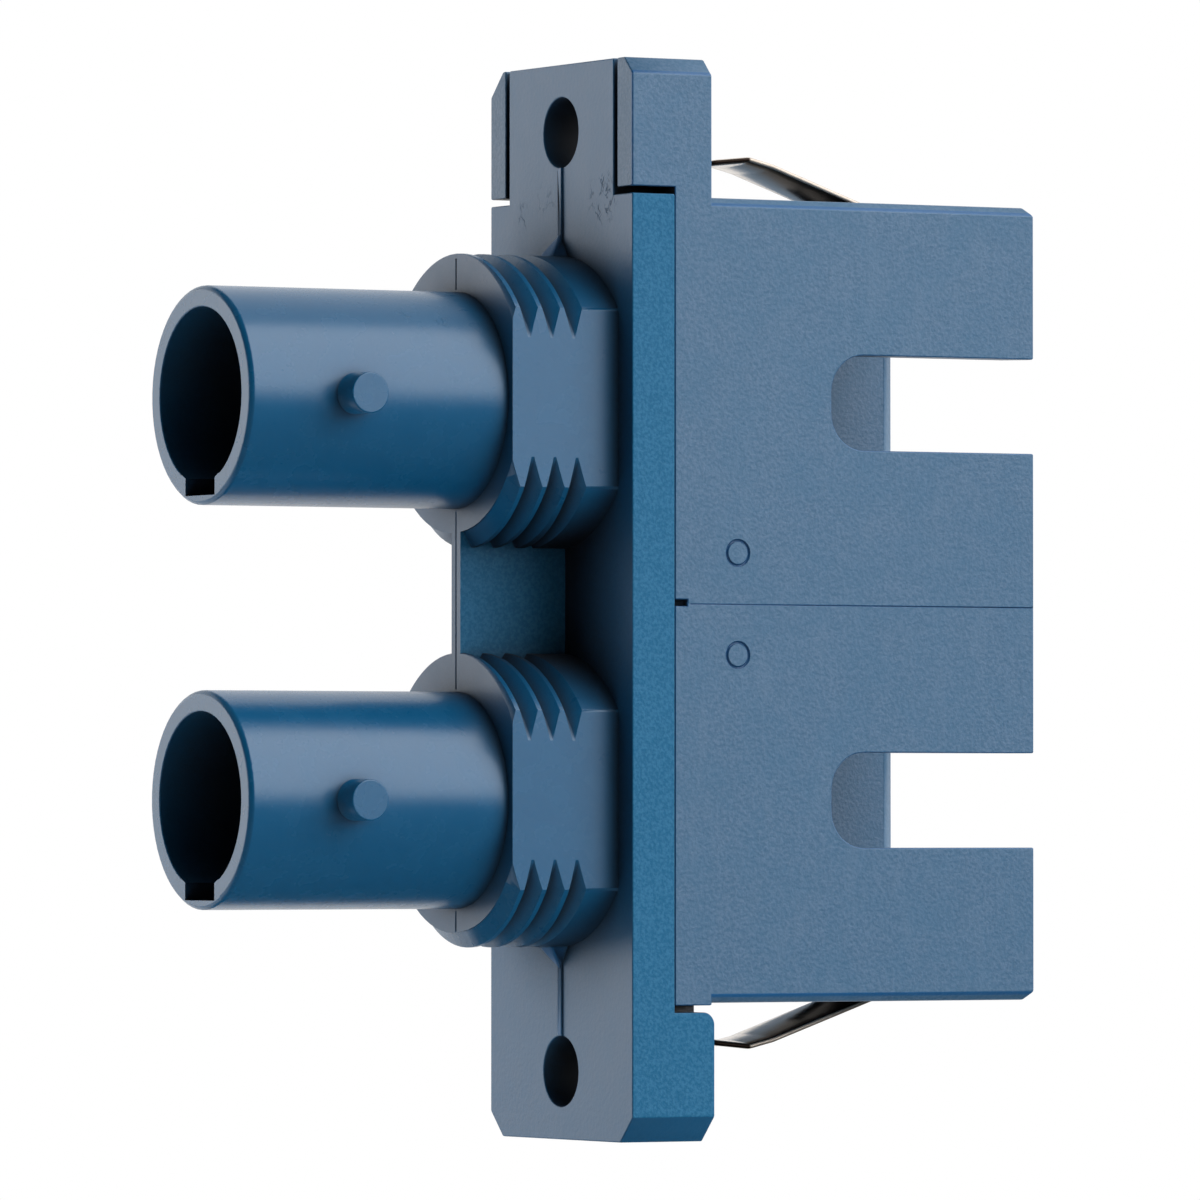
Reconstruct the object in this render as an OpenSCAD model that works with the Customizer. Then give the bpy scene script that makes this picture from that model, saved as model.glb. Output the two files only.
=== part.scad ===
// Duplex fibre optic coupler: two bayonet barrels on one side of a screw flange, two square push-pull ports on the other
// Sizes are in millimetres. X runs along the plugs, Z along the row of channels, and X = 0 is the flange's rear face.

/* [Flange] */
// Height of the flange, over both ears
flange_h = 34.35; // [32:0.05:40]
// Width of the flange and of the body behind it
flange_w = 9.3; // [9:0.1:12]
// Thickness of the flange, both halves together
flange_t = 2.9; // [2.6:0.1:4]
// Thickness of the rear half's share of the flange
rear_plate_t = 1.35; // [1:0.05:1.8]
// Bevel on the flange's four corners
corner_cut = 0.8; // [0.2:0.1:1.2]
// Distance between the two panel screw holes
hole_spacing = 30; // [29.5:0.1:31]
// Diameter of the panel screw holes
hole_d = 2.25; // [2:0.05:2.6]
// Width of the moulding rib that runs down the middle of the flange's face
rib_w = 0.3; // [0.1:0.05:0.5]
// Height of that rib
rib_h = 0.06; // [0.02:0.02:0.2]

/* [Interlocking ears] */
// Thickness of the cheeks that one half reaches around the other
cheek_t = 1; // [0.7:0.05:1.3]
// Gap between a cheek and the tongue that it flanks
cheek_gap = 0.12; // [0.05:0.01:0.2]
// Height at which the cheeks start
ear_split = 12.85; // [12.8:0.05:13.5]
// Gap below a cheek's end
ear_gap = 0.22; // [0.1:0.02:0.4]
// How far the lower cheeks stand out behind the flange
cheek_proud = 0.1; // [0:0.02:0.2]
// Rounding of their inner rear corner
cheek_r = 0.4; // [0.1:0.05:0.6]

/* [Channels] */
// Distance between the two channels
pitch = 12.7; // [12.7:0.1:14]
// Distance of the plane where the two ferrules meet, in front of the flange's rear face
mating_depth = 1.4; // [1:0.1:2]

/* [Bayonet barrels] */
// Outer diameter of a barrel
barrel_d = 6.9; // [6.6:0.05:7.2]
// Bore of a barrel
bore_d = 5.56; // [5.4:0.02:5.7]
// Distance from the flange's rear face to the barrel's mouth
barrel_reach = 15.86; // [14:0.1:18]
// Distance from the flange's rear face to the floor of the bore
bore_floor = 8; // [7.6:0.1:8.6]
// Bevel on the outer edge of the mouth
mouth_cut = 0.12; // [0.05:0.01:0.25]
// Diameter of a bayonet lug
lug_d = 1.3; // [1:0.05:1.6]
// Distance over both lugs
lug_span = 8.9; // [8.4:0.1:9.2]
// Distance from the barrel's mouth to the lugs' axis
lug_back = 3.7; // [3:0.1:5]
// Width of the keyway
key_w = 2; // [1.2:0.1:2.4]
// Depth of the keyway, measured from the bore's wall
key_depth = 0.37; // [0.2:0.01:0.5]
// Length of the keyway
key_l = 4.5; // [2:0.1:6]

/* [Threaded bases] */
// Diameter of a base over the crests of its fine thread, which isn't cut here
base_d = 9.36; // [9.2:0.02:9.52]
// Distance from the flange's rear face to the front of a base
base_reach = 6.715; // [6.4:0.05:7.5]
// Distance over the two flats
flats = 7.46; // [7.2:0.02:8]
// Thickness of the web between the two bases
web_t = 0.58; // [0.4:0.02:1]
// Width of the small gusset between a base and the flange's rib
gusset_w = 0.95; // [0.5:0.05:1.5]
// Length of the gusset along the flange
gusset_l = 0.7; // [0.4:0.05:1.2]
// Height of the gusset on the base
gusset_h = 0.6; // [0.3:0.05:1]

/* [Port body] */
// Length of the body behind the flange
body_l = 11.98; // [11:0.1:14]
// Height of the body
body_h = 25.55; // [25:0.05:28]
// Bevel on the body's long edges
edge_cut = 0.26; // [0.1:0.02:0.5]
// Width of a port, across the body
port_w = 7.4; // [7.4:0.05:7.7]
// Height of a port, along the row of channels
port_h = 9.1; // [9:0.05:9.3]
// Distance of the port's floor behind the flange's rear face
port_floor = 0.6; // [0.4:0.1:1]
// Lead-in bevel around a port's mouth
lead_in = 0.6; // [0.2:0.05:0.7]
// Width of a key slot
slot_w = 3.04; // [2.6:0.02:3.4]
// Distance from the flange's rear face to the closed end of a key slot
slot_start = 4.41; // [3.5:0.05:6]
// Rounding of the slot's inner corners
slot_r = 1.2; // [0.5:0.05:1.4]
// Length of the small notch at the seam, in the middle of the key slots' side
notch_l = 0.46; // [0.2:0.02:0.6]
// Height and depth of that notch
notch_h = 0.2; // [0.1:0.02:0.3]

/* [Alignment sleeves] */
// Length of a sleeve
sleeve_l = 11.4; // [10:0.1:11.6]
// Outer diameter of a sleeve
sleeve_d = 3.2; // [3:0.05:3.3]
// Bore of a sleeve, for a ferrule
ferrule_d = 2.5; // [2.48:0.01:2.5]
// Width of the slit along a sleeve
slit_w = 0.5; // [0.3:0.05:0.7]
// Clearance around a sleeve in its holder
sleeve_gap = 0.15; // [0.1:0.01:0.2]
// Clearance at each end of a sleeve
sleeve_end_gap = 0.3; // [0.2:0.05:0.4]
// Opening in the lips that keep a sleeve in
lip_d = 2.9; // [2.85:0.01:3]

/* [Latch inserts] */
// Outer diameter of the sleeve holder
holder_d = 4.9; // [4.6:0.05:5]
// Thickness of the lip at the holder's end
lip_t = 0.6; // [0.4:0.05:0.8]
// Width of the insert's plate, across the body
plate_w = 7.8; // [7.6:0.05:8]
// Height of the insert's plate
plate_h = 9.8; // [9.5:0.05:10]
// Clearance around the plate in its seat
plate_gap = 0.1; // [0.05:0.01:0.2]
// Width of a latch arm
arm_w = 3.2; // [2.4:0.1:4]
// Thickness of a latch arm
arm_t = 0.8; // [0.6:0.05:0.9]
// Clearance between an arm and the port's wall
arm_gap = 0.25; // [0.15:0.05:0.3]
// Distance from the flange's rear face to an arm's end
arm_reach = 6.3; // [5.5:0.1:7]
// Height of the nose on an arm
nose_h = 0.45; // [0.2:0.05:0.5]
// Length of the nose
nose_l = 1.1; // [0.8:0.1:1.5]

/* [Spring clips] */
// Width of a clip
clip_w = 2.8; // [2:0.1:3.2]
// Thickness of its sheet
clip_t = 0.18; // [0.12:0.01:0.22]
// Distance of the clip's root behind the flange's rear face
clip_root = 8; // [7.5:0.1:9]
// Distance of its fold behind the flange's rear face
clip_fold = 3.28; // [3:0.05:4]
// Distance of its tip behind the flange's rear face, about the thickest panel
clip_tip = 1.7; // [1.5:0.1:2]
// Height of the fold's middle plane over the body
fold_rise = 1.435; // [1.3:0.01:1.6]
// Height of the tip's middle plane over the body
tip_rise = 1.295; // [1.2:0.01:1.4]
// How deep the root's middle plane lies in the body
root_sink = 0.075; // [0:0.005:0.1]
// Length of the tab that goes down into the body
tab_l = 1; // [0.8:0.05:1.1]
// Clearance beside and under the tab
tab_gap = 0.2; // [0.15:0.05:0.2]
// Room in front of the root, where the leaf swings down
relief_l = 1.9; // [1.6:0.1:2.4]
// Depth of that room
relief_depth = 0.3; // [0.25:0.05:0.4]

/* [Colours] */
// Colour of the moulded halves
blue = [0.22, 0.36, 0.55];
// Colour of the latch inserts
deep_blue = [0.16, 0.28, 0.46];
// Colour of the sleeves
ceramic = [0.93, 0.92, 0.88];
// Colour of the clips
steel = [0.78, 0.76, 0.72];

/* [Hidden] */
$fn = 64;
// overlap of solids that are joined, and overshoot of cuts
eps = 0.05;
seam_x = -rear_plate_t;
tongue_w = flange_w - 2 * cheek_t - 2 * cheek_gap;
holder_bore = sleeve_d + 2 * sleeve_gap;
sleeve_front = -mating_depth - sleeve_l / 2;
sleeve_rear = -mating_depth + sleeve_l / 2;
holder_end = sleeve_rear + sleeve_end_gap + lip_t;
face_z = body_h / 2;

// Part to draw

// A round bar along X, from x0 to x1
module rod_x(x0, x1, d) {
  translate([x0, 0, 0])
    rotate([0, 90, 0])
      cylinder(h = x1 - x0, d = d);
}

// A block from one corner to the other
module block(low, high) {
  translate(low)
    cube(high - low);
}

// An outline in Y and Z, drawn out along X
module along_x(x0, x1) {
  translate([x0, 0, 0])
    rotate([90, 0, 90])
      linear_extrude(x1 - x0)
        children();
}

// An outline in X and Z, drawn out along Y on both sides of the middle
module along_y(w) {
  rotate([90, 0, 0])
    linear_extrude(w, center = true)
      children();
}

// A rectangle with bevelled corners
module bevelled(w, h, cut) {
  polygon([
    [-w / 2 + cut, -h / 2], [w / 2 - cut, -h / 2],
    [w / 2, -h / 2 + cut], [w / 2, h / 2 - cut],
    [w / 2 - cut, h / 2], [-w / 2 + cut, h / 2],
    [-w / 2, h / 2 - cut], [-w / 2, -h / 2 + cut]
  ]);
}

// The same thing on both channels
module at_channels() {
  for (side = [-1, 1])
    translate([0, 0, side * pitch / 2])
      children();
}

// A slice of the flange
module flange_slab(x0, x1) {
  along_x(x0, x1)
    bevelled(flange_w, flange_h, corner_cut);
}

// The two strips of an upper ear outside the tongue, above the height z0
module ear_sides(x0, x1, inner_w, z0) {
  for (side = [-1, 1])
    block(
      [x0, side < 0 ? -flange_w : inner_w / 2, z0],
      [x1, side < 0 ? -inner_w / 2 : flange_w, flange_h]
    );
}

// Both cheeks of an upper ear, from x0 to x1
module cheeks(x0, x1) {
  intersection() {
    flange_slab(x0, x1);
    ear_sides(x0 - eps, x1 + eps, flange_w - 2 * cheek_t, ear_split + ear_gap);
  }
}

// What rounds the inner rear corner of the lower cheeks, drawn for an upper ear
module cheek_rounding() {
  difference() {
    block(
      [cheek_proud - cheek_r, -flange_w, ear_split],
      [cheek_proud + eps, flange_w, ear_split + ear_gap + cheek_r]
    );
    translate([cheek_proud - cheek_r, 0, ear_split + ear_gap + cheek_r])
      rotate([90, 0, 0])
        cylinder(h = 3 * flange_w, r = cheek_r, center = true);
  }
}

module screw_holes() {
  for (side = [-1, 1])
    translate([0, 0, side * hole_spacing / 2])
      rod_x(-flange_t - 1, 1, hole_d);
}

// The base of a barrel with its two flats, on the channel's axis
module base() {
  intersection() {
    rod_x(-base_reach, -flange_t + eps, base_d);
    block([-base_reach - 1, -flats / 2, -base_d], [0, flats / 2, base_d]);
  }
}

// A barrel with its bevelled mouth and its two lugs
module barrel() {
  rod_x(-barrel_reach + mouth_cut, -base_reach + eps, barrel_d);
  translate([-barrel_reach, 0, 0])
    rotate([0, 90, 0])
      cylinder(h = mouth_cut, d1 = barrel_d - 2 * mouth_cut, d2 = barrel_d);
  translate([-barrel_reach + lug_back, 0, 0])
    rotate([90, 0, 0])
      cylinder(h = lug_span, d = lug_d, center = true);
}

// What is bored out of one channel of the front half
module front_bores() {
  rod_x(-barrel_reach - 1, -bore_floor, bore_d);
  rod_x(-bore_floor - 1, 0, lip_d);
  rod_x(sleeve_front - sleeve_end_gap, 0, holder_bore);
  block(
    [-barrel_reach - 1, -key_w / 2, -bore_d / 2 - key_depth],
    [-barrel_reach + key_l, key_w / 2, 0]
  );
}

// The small gusset above the upper base, with its rib up to the ear's end
module face_rib() {
  base_top = pitch / 2 + base_d / 2;
  block([-flange_t - rib_h, -rib_w / 2, base_top - 1], [-flange_t + eps, rib_w / 2, flange_h / 2]);
  intersection() {
    along_x(-flange_t - gusset_h, -flange_t + eps)
      polygon([[-gusset_w / 2, base_top - eps], [gusset_w / 2, base_top - eps], [0, base_top + gusset_l]]);
    along_y(gusset_w)
      polygon([
        [-flange_t - gusset_h, base_top - eps],
        [-flange_t + eps, base_top - eps],
        [-flange_t + eps, base_top + gusset_l],
        [-flange_t - rib_h, base_top + gusset_l]
      ]);
  }
}

module front_housing() {
  color(blue)
    difference() {
      union() {
        difference() {
          flange_slab(-flange_t, seam_x);
          ear_sides(-flange_t - 1, seam_x + 1, tongue_w, ear_split);
        }
        mirror([0, 0, 1])
          difference() {
            cheeks(seam_x - eps, cheek_proud);
            cheek_rounding();
          }
        at_channels()
          base();
        at_channels()
          barrel();
        block(
          [-base_reach, -web_t / 2, -pitch / 2 + bore_d / 2 + eps],
          [-flange_t + eps, web_t / 2, pitch / 2 - bore_d / 2 - eps]
        );
        face_rib();
        mirror([0, 0, 1])
          face_rib();
      }
      at_channels()
        front_bores();
      screw_holes();
    }
}

// One port, from its floor to its mouth, with the lead-in bevels
module port_cut() {
  block([port_floor, -port_w / 2, -port_h / 2], [body_l + 1, port_w / 2, port_h / 2]);
  translate([0, 0, -port_h / 2])
    linear_extrude(port_h)
      polygon([
        [body_l - lead_in, -port_w / 2], [body_l + eps, -port_w / 2 - lead_in - eps],
        [body_l + eps, port_w / 2 + lead_in + eps], [body_l - lead_in, port_w / 2]
      ]);
  along_y(port_w)
    polygon([
      [body_l - lead_in, -port_h / 2], [body_l + eps, -port_h / 2 - lead_in - eps],
      [body_l + eps, port_h / 2 + lead_in + eps], [body_l - lead_in, port_h / 2]
    ]);
}

// The key slot in the near side wall of one port
module key_slot() {
  straight = slot_w / 2 - slot_r;
  depth = [-flange_w, -port_w / 2 + eps];
  block([slot_start + slot_r, depth[0], -slot_w / 2], [body_l + 1, depth[1], slot_w / 2]);
  block([slot_start, depth[0], -straight], [slot_start + slot_r + eps, depth[1], straight]);
  for (side = [-1, 1])
    translate([slot_start + slot_r, depth[1], side * straight])
      rotate([90, 0, 0])
        cylinder(h = flange_w, r = slot_r);
}

// The seat for one latch insert, open at the seam
module insert_seat() {
  block(
    [seam_x - 1, -plate_w / 2 - plate_gap, -plate_h / 2 - plate_gap],
    [port_floor, plate_w / 2 + plate_gap, plate_h / 2 + plate_gap]
  );
}

// The pocket for the root of the upper clip
module clip_pocket() {
  half_w = clip_w / 2 + tab_gap;
  front = clip_root - clip_t / 2 - tab_gap;
  block(
    [front, -half_w, face_z - root_sink - tab_l - tab_gap],
    [clip_root + clip_t / 2 + 2 * tab_gap, half_w, face_z + 1]
  );
  block([clip_root - relief_l, -half_w, face_z - relief_depth], [front + eps, half_w, face_z + 1]);
}

// The body's block, with its long edges and the ends of its narrow sides bevelled
module body_block() {
  intersection() {
    along_x(seam_x, body_l)
      bevelled(flange_w, body_h, edge_cut);
    along_y(2 * flange_w)
      polygon([
        [seam_x, -face_z], [body_l - edge_cut, -face_z], [body_l, -face_z + edge_cut],
        [body_l, face_z - edge_cut], [body_l - edge_cut, face_z], [seam_x, face_z]
      ]);
  }
}

module rear_housing() {
  color(blue)
    difference() {
      union() {
        difference() {
          flange_slab(seam_x, 0);
          mirror([0, 0, 1])
            ear_sides(seam_x - 1, 1, tongue_w, ear_split);
        }
        cheeks(-flange_t, seam_x + eps);
        body_block();
      }
      at_channels()
        port_cut();
      at_channels()
        key_slot();
      at_channels()
        insert_seat();
      clip_pocket();
      mirror([0, 0, 1])
        clip_pocket();
      screw_holes();
      block([seam_x - eps, -flange_w, -notch_h], [seam_x + notch_l, -flange_w / 2 + notch_h, 0]);
    }
}

// A split sleeve on the channel's axis
module sleeve() {
  color(ceramic)
    difference() {
      rod_x(sleeve_front, sleeve_rear, sleeve_d);
      rod_x(sleeve_front - 1, sleeve_rear + 1, ferrule_d);
      block([sleeve_front - 1, -slit_w / 2, 0], [sleeve_rear + 1, slit_w / 2, sleeve_d]);
    }
}

// One latch arm, above the channel's axis, with its hooked nose
module latch_arm() {
  outer = port_h / 2 - arm_gap;
  inner = outer - arm_t;
  along_y(arm_w)
    polygon([
      [0, outer], [arm_reach, outer], [arm_reach, inner],
      [arm_reach - nose_l / 2, inner - nose_h], [arm_reach - nose_l, inner - nose_h],
      [arm_reach - nose_l, inner], [0, inner]
    ]);
}

// A latch insert on the channel's axis: the plate, the sleeve holder and two arms
module latch_insert() {
  color(deep_blue)
    difference() {
      union() {
        block([seam_x, -plate_w / 2, -plate_h / 2], [port_floor, plate_w / 2, plate_h / 2]);
        rod_x(seam_x, holder_end, holder_d);
        latch_arm();
        mirror([0, 0, 1])
          latch_arm();
      }
      rod_x(seam_x - 1, holder_end - lip_t, holder_bore);
      rod_x(seam_x - 1, holder_end + 1, lip_d);
    }
}

// The middle plane of the upper clip, seen from the side
clip_path = [
  [clip_tip, face_z + tip_rise], [clip_fold, face_z + fold_rise],
  [clip_root, face_z - root_sink], [clip_root, face_z - root_sink - tab_l]
];

// One edge of a bent strip: every point of the path moved sideways by d, with mitred corners
function unit(v) = v / norm(v);
function turned(v) = [-v[1], v[0]];
function path_dir(path, i) = unit(path[min(i + 1, len(path) - 1)] - path[min(i, len(path) - 2)]);
function mitre(path, i, d) =
  let (a = turned(path_dir(path, max(i - 1, 0))), b = turned(path_dir(path, i)), m = unit(a + b))
    path[i] + m * d / (m * b);
function strip_edge(path, d) = [for (i = [0 : len(path) - 1]) mitre(path, i, d)];
function reversed(list) = [for (i = [len(list) - 1 : -1 : 0]) list[i]];

// A sheet metal clip on the upper narrow side, folded from one strip
module clip() {
  color(steel)
    along_y(clip_w)
      polygon(concat(strip_edge(clip_path, clip_t / 2), reversed(strip_edge(clip_path, -clip_t / 2))));
}

module upper_sleeve() {
  translate([0, 0, pitch / 2])
    sleeve();
}

module lower_sleeve() {
  translate([0, 0, -pitch / 2])
    sleeve();
}

module upper_latch_insert() {
  translate([0, 0, pitch / 2])
    latch_insert();
}

module lower_latch_insert() {
  translate([0, 0, -pitch / 2])
    latch_insert();
}

module upper_clip() {
  clip();
}

module lower_clip() {
  mirror([0, 0, 1])
    clip();
}

front_housing();
rear_housing();
upper_sleeve();
lower_sleeve();
upper_latch_insert();
lower_latch_insert();
upper_clip();
lower_clip();
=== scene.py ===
"""Looks of a duplex fibre optic coupler: two blue moulded halves and two steel leaf clips, with the latch
inserts and the ceramic sleeves inside."""

import math

import bmesh
import bpy
import numpy as np
from mathutils import Matrix, Vector


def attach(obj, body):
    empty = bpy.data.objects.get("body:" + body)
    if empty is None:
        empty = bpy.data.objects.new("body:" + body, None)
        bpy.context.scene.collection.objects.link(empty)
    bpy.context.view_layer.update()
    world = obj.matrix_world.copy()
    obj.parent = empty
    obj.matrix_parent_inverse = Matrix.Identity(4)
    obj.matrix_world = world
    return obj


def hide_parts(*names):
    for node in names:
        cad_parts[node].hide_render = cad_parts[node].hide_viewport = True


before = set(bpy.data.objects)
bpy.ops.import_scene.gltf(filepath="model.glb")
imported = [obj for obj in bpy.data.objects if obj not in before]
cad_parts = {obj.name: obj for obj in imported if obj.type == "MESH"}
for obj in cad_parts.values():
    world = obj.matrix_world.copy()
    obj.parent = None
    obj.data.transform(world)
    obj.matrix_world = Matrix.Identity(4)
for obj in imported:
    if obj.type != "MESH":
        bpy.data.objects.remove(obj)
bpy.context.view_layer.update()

MM = 0.001

# Places on the part, in millimetres, as the frame has them
PITCH = 12.7
BASE_FRONT = -6.715
BASE_CREST = 4.68
FLANGE_FRONT = -2.9
EAR_SPLIT = 12.85
FACE_Y = -4.65
LINE_Z = -0.14
MARKS = {"upper_mark": (0.95, 1.5), "lower_mark": (0.95, -1.74)}

# Rounding of the moulded edges, in millimetres
EDGE_RADIUS = 0.05

# Colours, linear
BLUE = (0.005, 0.125, 0.290, 1.0)
# A brighter blue for the rounded edges and the mould's ridge: a painted highlight.
EDGE_HIGHLIGHT = (0.002, 0.150, 0.400, 1.0)
DEEP_BLUE = (0.010, 0.070, 0.165, 1.0)
# What the materials darken to in bores, gaps and corners: painted shade.
PAINTED_SHADE = (0.004, 0.008, 0.016, 1.0)


# Camera and light

def photo_camera():
    """The camera, whose place and lens were fitted. It looks along -back, with the picture's right and up
    square to that.
    """
    yaw, pitch = math.radians(-29.397), math.radians(-1.161)
    distance, shift_right, shift_up = 339.92, -1.273, 0.078
    focal_px, photo_px, sensor = 10593.7, 1200, 36.0
    back = Vector((math.sin(yaw) * math.cos(pitch), -math.cos(yaw) * math.cos(pitch), math.sin(pitch)))
    right = Vector((0, 0, 1)).cross(back).normalized()
    up = back.cross(right)
    lens = bpy.data.cameras.new("photo_camera")
    lens.sensor_width = sensor
    lens.lens = focal_px / photo_px * sensor
    lens.clip_start = 0.01
    lens.clip_end = 10.0
    camera = bpy.data.objects.new("photo_camera", lens)
    bpy.context.scene.collection.objects.link(camera)
    turn = Matrix((right, up, back)).transposed().to_4x4()
    place = back * distance * MM + right * shift_right * MM + up * shift_up * MM
    camera.matrix_world = Matrix.Translation(place) @ turn
    bpy.context.scene.camera = camera


def softbox(name, place, width, height, power):
    """A rectangular area light at place, in metres, that faces the part."""
    light = bpy.data.lights.new(name, "AREA")
    light.shape = "RECTANGLE"
    light.size = width
    light.size_y = height
    light.energy = power
    box = bpy.data.objects.new(name, light)
    bpy.context.scene.collection.objects.link(box)
    box.location = place
    box.rotation_euler = (-Vector(place)).to_track_quat("-Z", "Y").to_euler()


# Materials

class Number:
    """A socket on its way through a node tree. An expression on it adds the Math nodes."""

    def __init__(self, nodes, socket):
        self.nodes = nodes
        self.socket = socket

    def maths(self, operation, first, second=0.0):
        return self.nodes.node("ShaderNodeMath", {"operation": operation}, {0: first, 1: second})

    def __add__(self, other):
        return self.maths("ADD", self, other)

    def __sub__(self, other):
        return self.maths("SUBTRACT", self, other)

    def __rsub__(self, other):
        return self.maths("SUBTRACT", other, self)

    def __mul__(self, other):
        return self.maths("MULTIPLY", self, other)

    def __abs__(self):
        return self.maths("ABSOLUTE", self)

    def at_least(self, other):
        return self.maths("MAXIMUM", self, other)

    __radd__ = __add__
    __rmul__ = __mul__


class Nodes:
    """A node tree being filled, with one method that adds any node."""

    def __init__(self, tree):
        self.tree = tree

    def feed(self, socket, value):
        """Links a Number to the socket, or sets it to any other value."""
        if isinstance(value, Number):
            self.tree.links.new(value.socket, socket)
        else:
            socket.default_value = value

    def node(self, kind, settings=None, sockets=None, output=0):
        """A new node, with its settings made first and then the values or links of its sockets."""
        made = self.tree.nodes.new(kind)
        for name, value in (settings or {}).items():
            setattr(made, name, value)
        for name, value in (sockets or {}).items():
            self.feed(made.inputs[name], value)
        return Number(self, made.outputs[output])


class Finish(Nodes):
    """A material being made. The constants of its shader come first, and done() links what varies."""

    def __init__(self, name, **constants):
        self.material = bpy.data.materials.new(name)
        self.material.use_nodes = True
        super().__init__(self.material.node_tree)
        self.shader = self.tree.nodes["Principled BSDF"]
        for socket, value in constants.items():
            self.shader.inputs[socket.replace("_", " ")].default_value = value

    def place(self):
        return self.node("ShaderNodeTexCoord", output="Object")

    def axis(self, name):
        """One coordinate of the piece, in metres."""
        return self.node("ShaderNodeSeparateXYZ", {}, {"Vector": self.place()}, name)

    def facing(self, name):
        """One component of the outward normal."""
        normal = self.node("ShaderNodeNewGeometry", output="Normal")
        return self.node("ShaderNodeSeparateXYZ", {}, {"Vector": normal}, name)

    def noise(self, grain, detail=3.0, rough=0.55, stretch=(1, 1, 1)):
        """Noise from 0 to 1 whose lumps are about grain millimetres across."""
        vector = self.node("ShaderNodeMapping", {}, {"Vector": self.place(), "Scale": stretch})
        sockets = {"Vector": vector, "Scale": 1 / (grain * MM), "Detail": detail, "Roughness": rough}
        return self.node("ShaderNodeTexNoise", {"noise_dimensions": "3D"}, sockets, "Fac")

    def ramp(self, value, low, high, start=0.0, end=1.0):
        """start below low, end above high, and a smooth change between."""
        settings = {"interpolation_type": "SMOOTHSTEP"}
        sockets = {"Value": value, "From Min": low, "From Max": high, "To Min": start, "To Max": end}
        return self.node("ShaderNodeMapRange", settings, sockets)

    def mix(self, factor, first, second):
        """A colour between first and second."""
        sockets = {0: factor, 6: first, 7: second}
        return self.node("ShaderNodeMix", {"data_type": "RGBA"}, sockets, 2)

    def openness(self, low=0.3, high=0.95, reach=6.0):
        """From 0 in a narrow gap or a deep hole to 1 where nothing stands within reach millimetres: painted
        shade.
        """
        seen = self.node("ShaderNodeAmbientOcclusion", {"samples": 8}, {"Distance": reach * MM}, "AO")
        return self.ramp(seen, low, high)

    def near(self, x, y, z, size):
        """1 in the middle of a round spot size millimetres across, fading to 0 at its rim."""
        middle = (x * MM, y * MM, z * MM)
        sockets = {0: self.place(), 1: middle}
        gap = self.node("ShaderNodeVectorMath", {"operation": "DISTANCE"}, sockets, "Value")
        return self.ramp(gap, 0.2 * size * MM, 0.5 * size * MM, 1.0, 0.0)

    def bump(self, height, distance, strength):
        """A normal from a height of distance millimetres."""
        sockets = {"Height": height, "Distance": distance * MM, "Strength": strength}
        return self.node("ShaderNodeBump", {}, sockets)

    def done(self, **links):
        for socket, value in links.items():
            self.feed(self.shader.inputs[socket.replace("_", " ")], value)
        return self.material


def front_plastic():
    """Blue moulding: polished barrels and bases, a flange face with scuffs under its upper hole, two
    smudges on the upper barrel, a brighter blue on the mould's ridge that is a painted highlight, and
    painted shade that darkens the colour in bores and corners, where the gloss is also rougher."""
    f = Finish("blue_moulding_front", IOR=1.5, Specular_IOR_Level=0.6)
    flange = f.ramp(f.axis("X"), (FLANGE_FRONT - 0.08) * MM, (FLANGE_FRONT - 0.03) * MM)
    # The mould's ridge, painted in the brighter edge blue as a highlight.
    ridge = f.ramp(abs(f.axis("Y")), 0.48 * MM, 0.5 * MM, 1.0, 0.0)
    ridge = ridge * f.ramp(abs(f.axis("Z")), 11.0 * MM, 11.1 * MM) * (1 - flange)
    grain = f.noise(0.16, 2.0)
    mottle = f.noise(0.9, 3.0)
    strokes = f.ramp(abs(f.noise(0.5, 2.0, 0.7) - 0.5), 0.0, 0.05, 1.0, 0.0)
    strokes = strokes * f.ramp(f.noise(0.25, 1.0), 0.42, 0.55)
    scuffs = f.near(FLANGE_FRONT, -2.75, 12.75, 2.3)
    scuffs = scuffs + f.near(FLANGE_FRONT, 0.9, 12.9, 1.8) * 0.4
    scuffs = scuffs + f.near(FLANGE_FRONT, 2.6, 12.4, 1.3) * 0.7
    smudges = f.near(-9.7, -2.2, 8.95, 0.9) + f.near(-8.6, -2.4, 8.75, 0.8)
    strokes = strokes * (scuffs + smudges * 0.6)
    # Painted shade: where little is open round a point the colour darkens and the gloss grows rougher.
    open_air = f.openness()
    colour = f.mix(f.ramp(mottle, 0.3, 0.7) * 0.5, BLUE, (0.008, 0.140, 0.315, 1.0))
    colour = f.mix(strokes * 0.6, colour, (0.003, 0.055, 0.120, 1.0))
    # Painted highlight on the ridge, then painted shade in bores and corners.
    colour = f.mix(ridge, colour, EDGE_HIGHLIGHT)
    colour = f.mix(open_air, PAINTED_SHADE, colour)
    rough = 0.27 + flange * 0.1 + (mottle - 0.5) * 0.08 + strokes * 0.2 + (1 - open_air) * 0.45
    height = grain * (0.15 + flange * 0.35) - strokes * 0.8
    return f.done(Base_Color=colour, Roughness=rough, Normal=f.bump(height, 0.02, 0.6))


def strip_plastic():
    """The flange's edge and the web of the front half: saturated blue with the even pebbles of a coarse
    spark-eroded mould, and painted shade that darkens it in corners and between the bases."""
    f = Finish("blue_moulding_strip", IOR=1.5, Specular_IOR_Level=0.3)
    grain = f.noise(0.11, 2.0)
    speck = f.ramp(grain, 0.35, 0.68)
    colour = f.mix(speck, (0.006, 0.160, 0.340, 1.0), (0.030, 0.215, 0.420, 1.0))
    # Painted shade in corners and on the web between the bases.
    colour = f.mix(f.openness(0.05, 0.75), PAINTED_SHADE, colour)
    return f.done(Base_Color=colour, Roughness=0.5 + (grain - 0.5) * 0.1, Normal=f.bump(grain, 0.025, 0.6))


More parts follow.
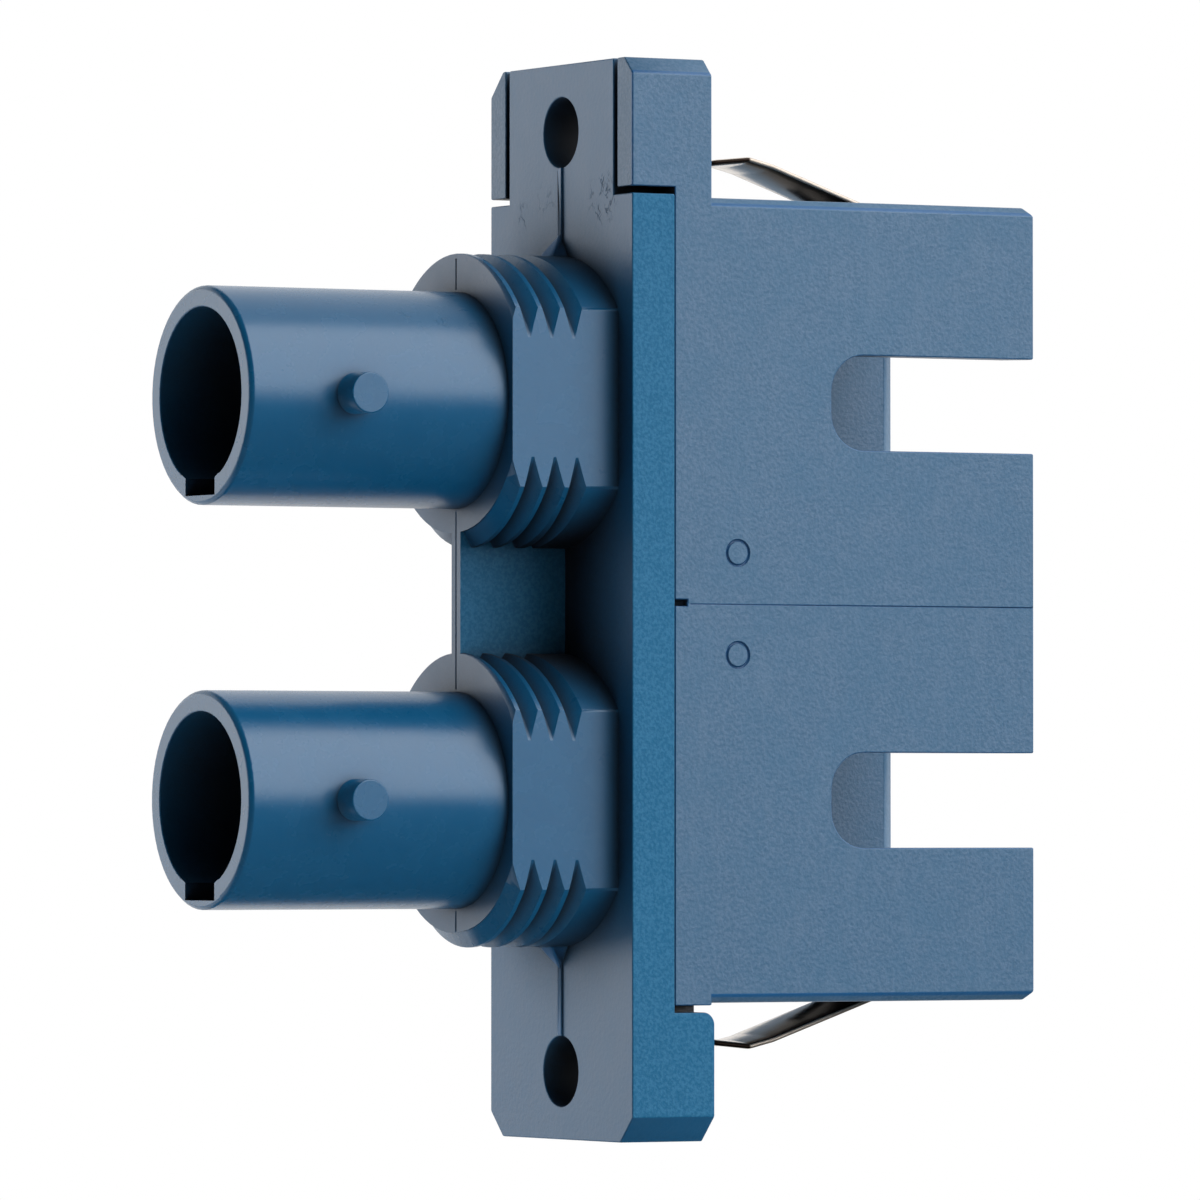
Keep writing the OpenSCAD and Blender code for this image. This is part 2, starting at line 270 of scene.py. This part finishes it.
def edge_plastic():
    """The rounded edges of both halves, in a deep, brighter blue that is a painted highlight, and with
    painted shade in corners and gaps.
    """
    f = Finish("blue_moulding_edge", IOR=1.5, Specular_IOR_Level=0.2)
    # A brighter blue: a painted highlight along the rounded edges.
    colour = f.mix(f.ramp(f.noise(0.3), 0.3, 0.7), EDGE_HIGHLIGHT, (0.004, 0.125, 0.350, 1.0))
    # Painted shade where the edges lie in corners and gaps.
    colour = f.mix(f.openness(), PAINTED_SHADE, colour)
    rough = 0.35 + f.noise(0.5) * 0.1
    return f.done(Base_Color=colour, Roughness=rough, Normal=f.bump(f.noise(0.16), 0.01, 0.4))


def rear_plastic():
    """Blue moulding speckled by the even grain of a fine spark-eroded mould, its pale grey cast a painted
    sheen, with deeper blue in the joint line and the marks of the near side, and painted shade in corners."""
    f = Finish("blue_moulding_rear", IOR=1.5, Specular_IOR_Level=0.7)
    grain = f.noise(0.12, 2.0)
    mottle = f.noise(1.6, 4.0)
    swirl = f.noise(0.8, 2.0, stretch=(1.0, 1.0, 0.35))
    y = f.axis("Y")
    lines = f.ramp(y, (FACE_Y + 0.004) * MM, (FACE_Y + 0.012) * MM)
    lines = lines * f.ramp(y, (FACE_Y + 0.08) * MM, (FACE_Y + 0.1) * MM, 1.0, 0.0)
    speck = f.ramp(grain, 0.32, 0.7)
    # The speckle is the mould's grain; the pale grey of both blues is a painted sheen.
    grain_and_sheen = f.mix(speck, (0.030, 0.140, 0.280, 1.0), (0.075, 0.190, 0.345, 1.0))
    colour = f.mix(f.ramp(mottle, 0.35, 0.7) * 0.35, grain_and_sheen, (0.025, 0.155, 0.310, 1.0))
    colour = f.mix(f.ramp(swirl, 0.55, 0.7) * 0.3, colour, (0.085, 0.200, 0.350, 1.0))
    colour = f.mix(lines, colour, (0.002, 0.120, 0.330, 1.0))
    # Painted shade in corners and gaps.
    colour = f.mix(f.openness(), PAINTED_SHADE, colour)
    rough = 0.45 + (mottle - 0.5) * 0.1
    return f.done(Base_Color=colour, Roughness=rough, Normal=f.bump(grain, 0.02, 0.6))


def insert_plastic():
    """The deeper blue, plainer moulding of the latch inserts."""
    f = Finish("insert_moulding", IOR=1.5)
    mottle = f.noise(0.8, 3.0)
    colour = f.mix(f.ramp(mottle, 0.3, 0.7), DEEP_BLUE, (0.014, 0.085, 0.190, 1.0))
    rough = 0.4 + (mottle - 0.5) * 0.1
    return f.done(Base_Color=colour, Roughness=rough, Normal=f.bump(f.noise(0.2), 0.01, 0.4))


def zirconia():
    """Ground and polished white ceramic, with faint grinding rings round the tube."""
    f = Finish("sleeve_ceramic", IOR=1.9)
    rings = f.noise(0.12, 2.0, stretch=(1.0, 0.05, 0.05))
    colour = f.mix(f.noise(0.7), (0.80, 0.79, 0.74, 1.0), (0.86, 0.85, 0.81, 1.0))
    return f.done(Base_Color=colour, Roughness=0.16 + rings * 0.12, Normal=f.bump(rings, 0.004, 0.4))


def spring_steel():
    """Cold rolled stainless strip with a warm cast: fine lines along the strip, a few dull patches, and
    its side faces darker and rougher, darkest at the tip."""
    f = Finish("clip_steel", Metallic=1.0)
    lines = f.noise(0.05, 3.0, stretch=(0.04, 1.0, 0.3))
    patches = f.noise(0.6, 3.0)
    side = f.ramp(abs(f.facing("Y")), 0.55, 0.8)
    tip = f.ramp(f.axis("X"), 3.25 * MM, 3.35 * MM, 1.0, 0.25)
    colour = f.mix(f.ramp(patches, 0.35, 0.65), (0.68, 0.60, 0.52, 1.0), (0.80, 0.71, 0.62, 1.0))
    # The side faces darker, most at the tip.
    colour = f.mix(side * tip, colour, (0.022, 0.015, 0.012, 1.0))
    rough = 0.13 + lines * 0.08 + f.ramp(patches, 0.4, 0.7) * 0.05 + side * 0.35
    return f.done(Base_Color=colour, Roughness=rough, Normal=f.bump(lines, 0.004, 0.4))


# Surfaces

def mesh_object(name, points, faces):
    """An object at the origin from an array of points, in millimetres, and a list or array of faces."""
    mesh = bpy.data.meshes.new(name)
    mesh.from_pydata((np.asarray(points, float) * MM).tolist(), [], [list(face) for face in faces])
    mesh.validate()
    made = bpy.data.objects.new(name, mesh)
    bpy.context.scene.collection.objects.link(made)
    return made


def closed_object(name, points, faces):
    """A mesh_object of a closed shape, with its faces turned outwards."""
    made = mesh_object(name, points, faces)
    b = bmesh.new()
    b.from_mesh(made.data)
    bmesh.ops.recalc_face_normals(b, faces=b.faces)
    if b.calc_volume(signed=True) < 0:
        bmesh.ops.reverse_faces(b, faces=b.faces)
    b.to_mesh(made.data)
    b.free()
    return made


def grid_faces(rows, columns, rows_close=False, columns_close=False):
    """Four-sided faces over a grid of points, wrapped round where a direction closes."""
    i = np.arange(rows if rows_close else rows - 1)
    j = np.arange(columns if columns_close else columns - 1)
    i, j = [a.ravel() for a in np.meshgrid(i, j, indexing="ij")]
    down, across = (i + 1) % rows, (j + 1) % columns
    return np.stack([i * columns + j, i * columns + across, down * columns + across, down * columns + j], 1)


def capped_tube(rows, columns):
    """The faces of a grid whose columns close, with a cap on its first and its last row."""
    last = (rows - 1) * columns
    faces = grid_faces(rows, columns, columns_close=True).tolist()
    return faces + [list(range(columns))[::-1], list(range(last, last + columns))]


def thread_cutter(name, axis_z):
    """What the thread removes from one base. The four corners of a V section, wide outside and narrow at
    the root, ride along a right-hand helix: at angle t the section's centre is pitch * t / 360 along X.
    Over the last quarter turn the root rises to the crest, so the groove runs out."""
    pitch, depth, outside = 0.8, 0.5, 0.04
    half_mouth, half_floor, half_end = 0.347, 0.05, 0.03
    start, end, per_turn = -297.1, 1010.0, 72
    crossing_x, crossing_angle = -6.108, 153.6
    t = np.linspace(start, end, int((end - start) / 360 * per_turn) + 1)
    x = crossing_x + pitch * (t - crossing_angle) / 360
    fade = np.clip((t - (end - 90)) / 90, 0, 1) ** 2
    root = BASE_CREST - depth + fade * (depth + 0.02)
    half_out = half_mouth * (1 - fade) + half_end * fade
    half_root = np.minimum(np.full_like(t, half_floor), half_out * 0.9)
    dx = np.stack([-half_out, half_out, half_root, -half_root], 1)
    r = np.stack([np.full_like(t, BASE_CREST + outside)] * 2 + [root] * 2, 1)
    a = np.radians(t)[:, None]
    points = np.stack([x[:, None] + dx, r * np.cos(a), axis_z + r * np.sin(a)], 2).reshape(-1, 3)
    return closed_object(name, points, capped_tube(len(t), 4))


def ring_cutter(name, axis_z, profile):
    """A closed outline of (x, radius) points turned once round a channel's axis."""
    a = np.linspace(0, 2 * np.pi, 128, endpoint=False)[:, None]
    x, r = np.array(profile, float).T
    points = np.stack([x + 0 * a, r * np.cos(a), axis_z + r * np.sin(a)], 2).reshape(-1, 3)
    return closed_object(name, points, grid_faces(128, len(x), rows_close=True, columns_close=True))


def line_cutter(name, start, end, across, inward, width, depth):
    """A straight V groove from start to end in a flat face. Its section is a triangle: the point lies depth
    under the face along inward, and the open side a quarter of that above it, so that the groove is width
    wide."""
    start, end, across, inward = (np.array(v, float) for v in (start, end, across, inward))
    above = inward * depth / 4
    section = np.stack([-across * width * 0.625 - above, inward * depth, across * width * 0.625 - above])
    return closed_object(name, np.concatenate([start + section, end + section]), capped_tube(2, 3))


def block(name, low, high):
    """A box from one corner to the other."""
    corners = np.array([[(low, high)[(i >> k) & 1][k] for k in range(3)] for i in range(8)])
    faces = [[0, 2, 3, 1], [4, 5, 7, 6], [0, 1, 5, 4], [2, 6, 7, 3], [0, 4, 6, 2], [1, 3, 7, 5]]
    return closed_object(name, corners, faces)


def ring_mark(name, x, z):
    """A round groove in the near wide side: a small circle carried round a larger one whose centre is on
    the face."""
    radius, groove = 0.4, 0.055
    a = np.linspace(0, 2 * np.pi, 48, endpoint=False)
    t = np.linspace(0, 2 * np.pi, 8, endpoint=False)
    a, t = np.meshgrid(a, t, indexing="ij")
    r = radius + groove * np.cos(t)
    points = np.stack([x + r * np.cos(a), FACE_Y + groove * np.sin(t), z + r * np.sin(a)], 2).reshape(-1, 3)
    return closed_object(name, points, grid_faces(48, 8, rows_close=True, columns_close=True))


def rounded_path(corners, radii, steps=7):
    """A path through corners in the XZ plane in which each inner corner is an arc of its radius: the arc
    starts radius * tan(half the turn) before the corner and ends as far behind it."""
    corners = np.array(corners, float)
    path = [corners[:1]]
    for before, corner, after, radius in zip(corners[:-2], corners[1:-1], corners[2:], radii):
        a = (before - corner) / np.linalg.norm(before - corner)
        b = (after - corner) / np.linalg.norm(after - corner)
        half = math.acos(np.clip(a @ b, -1, 1)) / 2
        middle = corner + (a + b) / np.linalg.norm(a + b) * radius / math.sin(half)
        first = corner + a * radius / math.tan(half) - middle
        last = corner + b * radius / math.tan(half) - middle
        share = np.linspace(0, 1, steps)[:, None]
        turn = math.pi - 2 * half
        arc = (np.sin((1 - share) * turn) * first + np.sin(share * turn) * last) / math.sin(turn)
        path.append(middle + arc)
    path.append(corners[-1:])
    return np.concatenate(path)


def leaf_clip(name, side):
    """A clip bent from one strip. Its middle line is a rounded path in X and Z, from the tip to the root.
    Across Y its outline has rounded corners at the tip. Its section is the strip's thickness with
    half-round edges, and it bows by dish millimetres times the square of the share of the half width."""
    thick, half_w, dish, tip_r = 0.17, 1.4, 0.08, 0.4
    corners = [(1.72, 14.07), (3.28, 14.225), (4.15, 14.02), (8.0, 12.68), (8.0, 11.72)]
    path = rounded_path(corners, [0.3, 0.7, 0.2])
    along = np.concatenate([[0], np.cumsum(np.linalg.norm(np.diff(path, axis=0), axis=1))])
    s = np.concatenate([np.linspace(0, tip_r, 9)[:-1], np.linspace(tip_r, along[-1], 90)])
    line = np.stack([np.interp(s, along, path[:, 0]), np.interp(s, along, path[:, 1])], 1)
    tangent = np.gradient(line, s, axis=0)
    tangent /= np.linalg.norm(tangent, axis=1)[:, None]
    normal = np.stack([-tangent[:, 1], tangent[:, 0]], 1)
    narrow = tip_r - np.sqrt(np.clip(tip_r ** 2 - (tip_r - np.minimum(s, tip_r)) ** 2, 0, None))
    edge = np.radians(np.linspace(-90, 90, 5))
    bulge = thick / 2
    width = (half_w - bulge - narrow)[:, None]
    flat = np.linspace(-1, 1, 9)
    near_edge = width + bulge * np.cos(edge[::-1])[1:-1]
    far_edge = -width - bulge * np.cos(edge)[1:-1]
    across = np.concatenate([flat * width, near_edge, flat[::-1] * width, far_edge], 1)
    level = np.full(9, bulge)
    off = np.concatenate([level, bulge * np.sin(edge[::-1])[1:-1], -level, bulge * np.sin(edge)[1:-1]])
    off = off + dish * ((across / half_w) ** 2 - 0.6) * np.clip(s / tip_r, 0, 1)[:, None]
    x = line[:, :1] + normal[:, :1] * off
    z = line[:, 1:] + normal[:, 1:] * off
    points = np.stack([x, across, z * side], 2).reshape(-1, 3)
    clip = closed_object(name, points, capped_tube(*x.shape))
    clip.data.shade_smooth()
    clip.data.set_sharp_from_angle(angle=math.radians(50))
    return clip


# Work on the moulded halves

def merged_copy(node, name):
    """A copy of a CAD node whose loose triangles are joined."""
    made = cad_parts[node].copy()
    made.data = made.data.copy()
    made.name = name
    made.data.name = name
    for key in [k for k in made.keys() if k.startswith("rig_")]:
        del made[key]
    made.parent = None
    made.data.materials.clear()
    bpy.context.scene.collection.objects.link(made)
    b = bmesh.new()
    b.from_mesh(made.data)
    bmesh.ops.remove_doubles(b, verts=b.verts, dist=1e-6)
    b.to_mesh(made.data)
    b.free()
    return made


def cut(piece, cutters):
    """Takes the cutters away from the piece, then removes them."""
    for cutter in cutters:
        modifier = piece.modifiers.new("cut", "BOOLEAN")
        modifier.operation = "DIFFERENCE"
        modifier.solver = "EXACT"
        modifier.object = cutter
    graph = bpy.context.evaluated_depsgraph_get()
    mesh = bpy.data.meshes.new_from_object(piece.evaluated_get(graph))
    piece.modifiers.clear()
    old = piece.data
    piece.data = mesh
    bpy.data.meshes.remove(old)
    for cutter in cutters:
        bpy.data.objects.remove(cutter)


def off_thread(edge):
    """False on the threaded part of a base, whose crests are too narrow to round, along the joint line, and
    in the keyways, whose floor is thin."""
    m = (edge.verts[0].co + edge.verts[1].co) / 2 / MM
    height = m.z - math.copysign(PITCH / 2, m.z)
    r = math.hypot(m.y, height)
    thread = BASE_FRONT - 0.05 < m.x < -3.95 and r > 3.7
    line = abs(m.x - BASE_FRONT) < 0.1 and abs(m.y) < 0.12
    keyway = m.x < -8 and abs(m.y) < 1.3 and height < -2.4
    return not (thread or line or keyway)


def off_marks(edge):
    """False in the joint line and the round marks of the near side, which are too fine to round."""
    m = (edge.verts[0].co + edge.verts[1].co) / 2 / MM
    in_line = abs(m.z - LINE_Z) < 0.06 and m.x > -0.85
    in_mark = any(math.hypot(m.x - x, m.z - z) < 0.6 for x, z in MARKS.values())
    return not (m.y < FACE_Y + 0.1 and (in_line or in_mark))


def soften(piece, keep):
    """Rounds the sharp outer edges of a moulding that keep lets through. The rounded faces get the piece's
    second material, which paints a highlight on them, and 1 in an attribute that marks them."""
    b = bmesh.new()
    b.from_mesh(piece.data)
    bmesh.ops.remove_doubles(b, verts=b.verts, dist=4e-7)
    bmesh.ops.dissolve_degenerate(b, edges=b.edges, dist=4e-7)
    bevelled = b.faces.layers.float.new("bevel_face")
    sharp = [
        e for e in b.edges
        if len(e.link_faces) == 2 and e.calc_face_angle_signed(0) > math.radians(28) and keep(e)
    ]
    made = bmesh.ops.bevel(
        b, geom=sharp, affect="EDGES", offset=EDGE_RADIUS * MM, offset_type="OFFSET", segments=2, profile=0.5,
        clamp_overlap=False, miter_outer="SHARP", miter_inner="SHARP", loop_slide=False,
    )
    # The rounded faces take the second material, whose brighter blue is a painted highlight.
    for face in made["faces"]:
        face[bevelled] = 1.0
        face.material_index = 1
    for face in b.faces:
        face.smooth = True
    b.to_mesh(piece.data)
    b.free()
    piece.data.set_sharp_from_angle(angle=math.radians(40))
    true_normals(piece.data)


def read(items, name, width=1, kind=np.float32):
    """One property of all items, as an array with width numbers a row."""
    values = np.empty(len(items) * width, kind)
    items.foreach_get(name, values)
    return values.reshape(-1, width) if width > 1 else values


def true_normals(mesh):
    """Gives each corner the normal of the real surface. On the barrels and bases that is the direction away
    from the channel's axis, on a flat face the face's own normal, and a rounded edge takes over its
    neighbours' normals."""
    vertex = read(mesh.loops, "vertex_index", kind=np.int32)
    start = read(mesh.polygons, "loop_start", kind=np.int32)
    count = read(mesh.polygons, "loop_total", kind=np.int32)
    area = read(mesh.polygons, "area")
    normal = read(mesh.polygons, "normal", 3)
    bevelled = read(mesh.attributes["bevel_face"].data, "value")
    co = read(mesh.vertices, "co", 3)[vertex] / MM
    corner = read(mesh.corner_normals, "vector", 3)
    faces = np.arange(len(mesh.polygons))
    face = np.repeat(faces, count)

    # Flat faces: the level faces of one plane count as one, and small ones are left to Blender
    axis = np.abs(normal).argmax(1)
    plane = np.stack([axis, np.sign(normal[faces, axis]), np.round(co[start, axis] * 50)], 1)
    group = np.unique(plane, axis=0, return_inverse=True)[1].ravel()
    level = (bevelled < 0.5) & (np.abs(normal).max(1) > 0.9999)
    size = np.bincount(group, np.where(level, area, 0))[group]
    flat = level & (size > 1.2 * MM * MM)
    corner[flat[face]] = normal[face][flat[face]]
    fixed = flat[face]

    # Turned faces: those that face straight away from or towards a channel's axis
    for side in (-1, 1):
        away = np.stack([np.zeros(len(vertex)), co[:, 1], co[:, 2] - side * PITCH / 2], 1)
        r = np.linalg.norm(away, axis=1)
        away /= np.maximum(r, 1e-6)[:, None]
        along = (away * normal[face]).sum(1)
        low = np.minimum.reduceat(np.abs(along), start)
        spread = np.maximum.reduceat(r, start) - np.minimum.reduceat(r, start)
        turned = (low > 0.985) & (spread < 0.03) & (bevelled < 0.5) & ~flat
        turned = turned[face] & (r > 1.2) & (r < 4.8)
        corner[turned] = (away * np.sign(along)[:, None])[turned]
        fixed = fixed | turned

    # Rounded edges: the mean of what was set at the same point
    total = np.zeros((len(mesh.vertices), 3))
    np.add.at(total, vertex[fixed], corner[fixed])
    length = np.linalg.norm(total, axis=1)
    total /= np.maximum(length, 1e-9)[:, None]
    near = (bevelled[face] > 0.5) & (length[vertex] > 0) & ((total[vertex] * normal[face]).sum(1) > 0.6)
    corner[near] = total[vertex][near]
    mesh.normals_split_custom_set(corner.tolist())


# Pieces

def finish_piece(piece, materials, body, node):
    """Gives a piece its materials, hangs it on its body, and hides the CAD node it stands for."""
    piece.data.materials.clear()
    for material in materials:
        piece.data.materials.append(material)
    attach(piece, body)
    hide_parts(node)


def front_half():
    """The CAD solid with its two threads cut, the bases' front rims broken, the mould's joint line, a wider
    gap on each side of the upper tongue, and no ridge past the screw holes."""
    front = merged_copy("front_housing", "front_moulding")
    gap_y, gap_half = 3.55, 0.13
    ridge_z, ridge_half = 16.45, 0.95
    cutters = []
    for y in (-gap_y, gap_y):
        cutters.append(block("gap", (-3.1, y - gap_half, EAR_SPLIT), (-1.2, y + gap_half, 17.3)))
    for z in (-ridge_z, ridge_z):
        low, high = (-3.3, -0.15, z - ridge_half), (FLANGE_FRONT, 0.15, z + ridge_half)
        cutters.append(block("ridge_end", low, high))
    rim = [
        (BASE_FRONT - 0.1, 4.56),
        (BASE_FRONT - 0.1, 4.9),
        (BASE_FRONT + 0.2, 4.9),
        (BASE_FRONT + 0.03, 4.69),
    ]
    # The thread and the rim's bevel stop at the web between the bases
    for axis_z in (PITCH / 2, -PITCH / 2):
        for cutter in (thread_cutter("groove", axis_z), ring_cutter("rim", axis_z, rim)):
            cut(cutter, [block("web", (-8, -0.29, min(0, axis_z)), (-2, 0.29, max(0, axis_z)))])
            cutters.append(cutter)
    # The joint line runs over each base's front from the barrel to short of the rim, and along the web
    for start, end in ((-9.87, -10.87), (-2.83, 2.83), (9.87, 10.87)):
        ends = [(BASE_FRONT, 0, z) for z in (start, end)]
        cutters.append(line_cutter("joint_line", *ends, (0, 1, 0), (1, 0, 0), 0.1, 0.05))
    cut(front, cutters)
    soften(front, off_thread)
    materials = [front_plastic(), edge_plastic(), strip_plastic()]
    finish_piece(front, materials, "coupler", "front_housing")
    for face in front.data.polygons:
        on_strip = face.center.x > (FLANGE_FRONT - 0.04) * MM and abs(face.center.y) > 4.5 * MM
        on_web = abs(face.center.y) < 0.3 * MM and abs(face.center.z) < 3 * MM
        if abs(face.normal.y) > 0.9 and (on_strip or on_web):
            face.material_index = 2


def rear_half():
    """The CAD solid with a smaller bevel on its near top corner, the mould's joint line and two plain round
    marks."""
    rear = merged_copy("rear_housing", "rear_moulding")
    bevel_y, bevel_z = -3.85, 16.375
    smaller_y, smaller_z = -4.12, 16.65
    points = np.array([v.co for v in rear.data.vertices]) / MM
    on_top = (abs(points[:, 1] - bevel_y) < 0.02) & (points[:, 2] > 17.1)
    on_side = (points[:, 1] < -4.6) & (abs(points[:, 2] - bevel_z) < 0.02)
    points[on_top, 1] = smaller_y
    points[on_side, 2] = smaller_z
    rear.data.vertices.foreach_set("co", (points * MM).ravel())
    ends = [(x, FACE_Y, LINE_Z) for x in (-0.8, 12.5)]
    joint_line = line_cutter("joint_line", *ends, (0, 0, 1), (0, 1, 0), 0.06, 0.04)
    cut(rear, [joint_line] + [ring_mark(name, *place) for name, place in MARKS.items()])
    soften(rear, off_marks)
    finish_piece(rear, [rear_plastic(), edge_plastic()], "coupler", "rear_housing")


def leaf_clips():
    """The clip on each narrow side."""
    for name, side in (("upper", 1), ("lower", -1)):
        clip = leaf_clip(name + "_leaf_clip", side)
        finish_piece(clip, [spring_steel()], name + "_clip", name + "_clip")


def inner_pieces():
    """The sleeves and inserts, whose CAD nodes keep their shape and get a finish."""
    for kind, finish in (("sleeve", zirconia), ("latch_insert", insert_plastic)):
        for channel in ("upper", "lower"):
            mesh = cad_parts[channel + "_" + kind].data
            mesh.materials.clear()
            mesh.materials.append(finish())


# Stage

def dark_card(name, azimuths, heights):
    """A patch of a sphere round the part, from one azimuth and height to another, in degrees, that only
    gloss sees. Where it would reach through the floor it lies just over the floor, in the same direction
    from the part."""
    reach, over_floor = 300, 43
    a, h = np.radians(np.linspace(*azimuths, 40)), np.radians(np.linspace(*heights, 24))
    a, h = np.meshgrid(a, h, indexing="ij")
    points = np.stack([np.sin(a) * np.cos(h), -np.cos(a) * np.cos(h), np.sin(h)], 2).reshape(-1, 3)
    points *= np.minimum(reach, over_floor / np.maximum(-points[:, 2:], 1e-6))
    card = mesh_object(name, points, grid_faces(40, 24))
    black = Finish("black_card", Base_Color=(0.01, 0.01, 0.01, 1.0), Roughness=1.0)
    card.data.materials.append(black.material)
    card.visible_camera = False
    card.visible_diffuse = False
    card.visible_shadow = False
    card.visible_transmission = False


def pale_floor():
    """A plain floor under the part, which gloss sees as white."""
    size, low = 320, -45
    corners = [[-size, -size, low], [size, -size, low], [size, size, low], [-size, size, low]]
    floor = mesh_object("floor", corners, [[0, 1, 2, 3]])
    f = Finish("floor_paint", Base_Color=(0.82, 0.82, 0.82, 1.0), Roughness=0.9)
    gloss = f.node("ShaderNodeLightPath", output="Is Glossy Ray")
    white = f.node("ShaderNodeEmission")
    paint = Number(f, f.shader.outputs[0])
    blend = f.node("ShaderNodeMixShader", {}, {0: gloss, 1: paint, 2: white})
    f.feed(f.tree.nodes["Material Output"].inputs["Surface"], blend)
    floor.data.materials.append(f.material)


def white_world():
    """A world that is white to the camera, gloss and glass. What it sheds on the part is weak, and rises
    with the direction's Y from the near side to the far side."""
    world = bpy.data.worlds.new("studio")
    bpy.context.scene.world = world
    world.use_nodes = True
    sky = Nodes(world.node_tree)
    camera = sky.node("ShaderNodeLightPath", output="Is Camera Ray")
    gloss = sky.node("ShaderNodeLightPath", output="Is Glossy Ray")
    glass = sky.node("ShaderNodeLightPath", output="Is Transmission Ray")
    direction = sky.node("ShaderNodeTexCoord", output="Generated")
    y = sky.node("ShaderNodeSeparateXYZ", {}, {"Vector": direction}, "Y")
    rise = {"Value": y, "From Min": -0.1, "From Max": 0.4, "To Min": 0.02, "To Max": 0.6}
    shed = sky.node("ShaderNodeMapRange", {}, rise)
    seen = camera.at_least(gloss).at_least(glass)
    level = sky.node("ShaderNodeMapRange", {}, {"Value": seen, "To Min": shed, "To Max": 1.0})
    background = world.node_tree.nodes["Background"]
    sky.feed(background.inputs["Color"], (1, 1, 1, 1))
    sky.feed(background.inputs["Strength"], level)


def studio():
    """The floor, the world, two large softboxes, and dark cards that show only in gloss."""
    pale_floor()
    white_world()
    softbox("key_softbox", (0.382, -0.489, 0.420), 0.78, 0.88, 5.3)
    softbox("back_softbox", (-0.32, 0.56, 0.02), 0.5, 0.45, 0.75)
    dark_card("low_card", (-110, 110), (-90, -4))
    dark_card("low_back_card", (110, 250), (-90, -45))
    dark_card("left_card", (-100, -8), (-4, 90))
    dark_card("left_top_card", (-140, -100), (15, 90))
    dark_card("back_top_card", (-180, -140), (40, 90))
    dark_card("top_card", (-8, 180), (72, 90))


photo_camera()
front_half()
rear_half()
leaf_clips()
inner_pieces()
studio()
bpy.context.scene.view_settings.view_transform = "Standard"
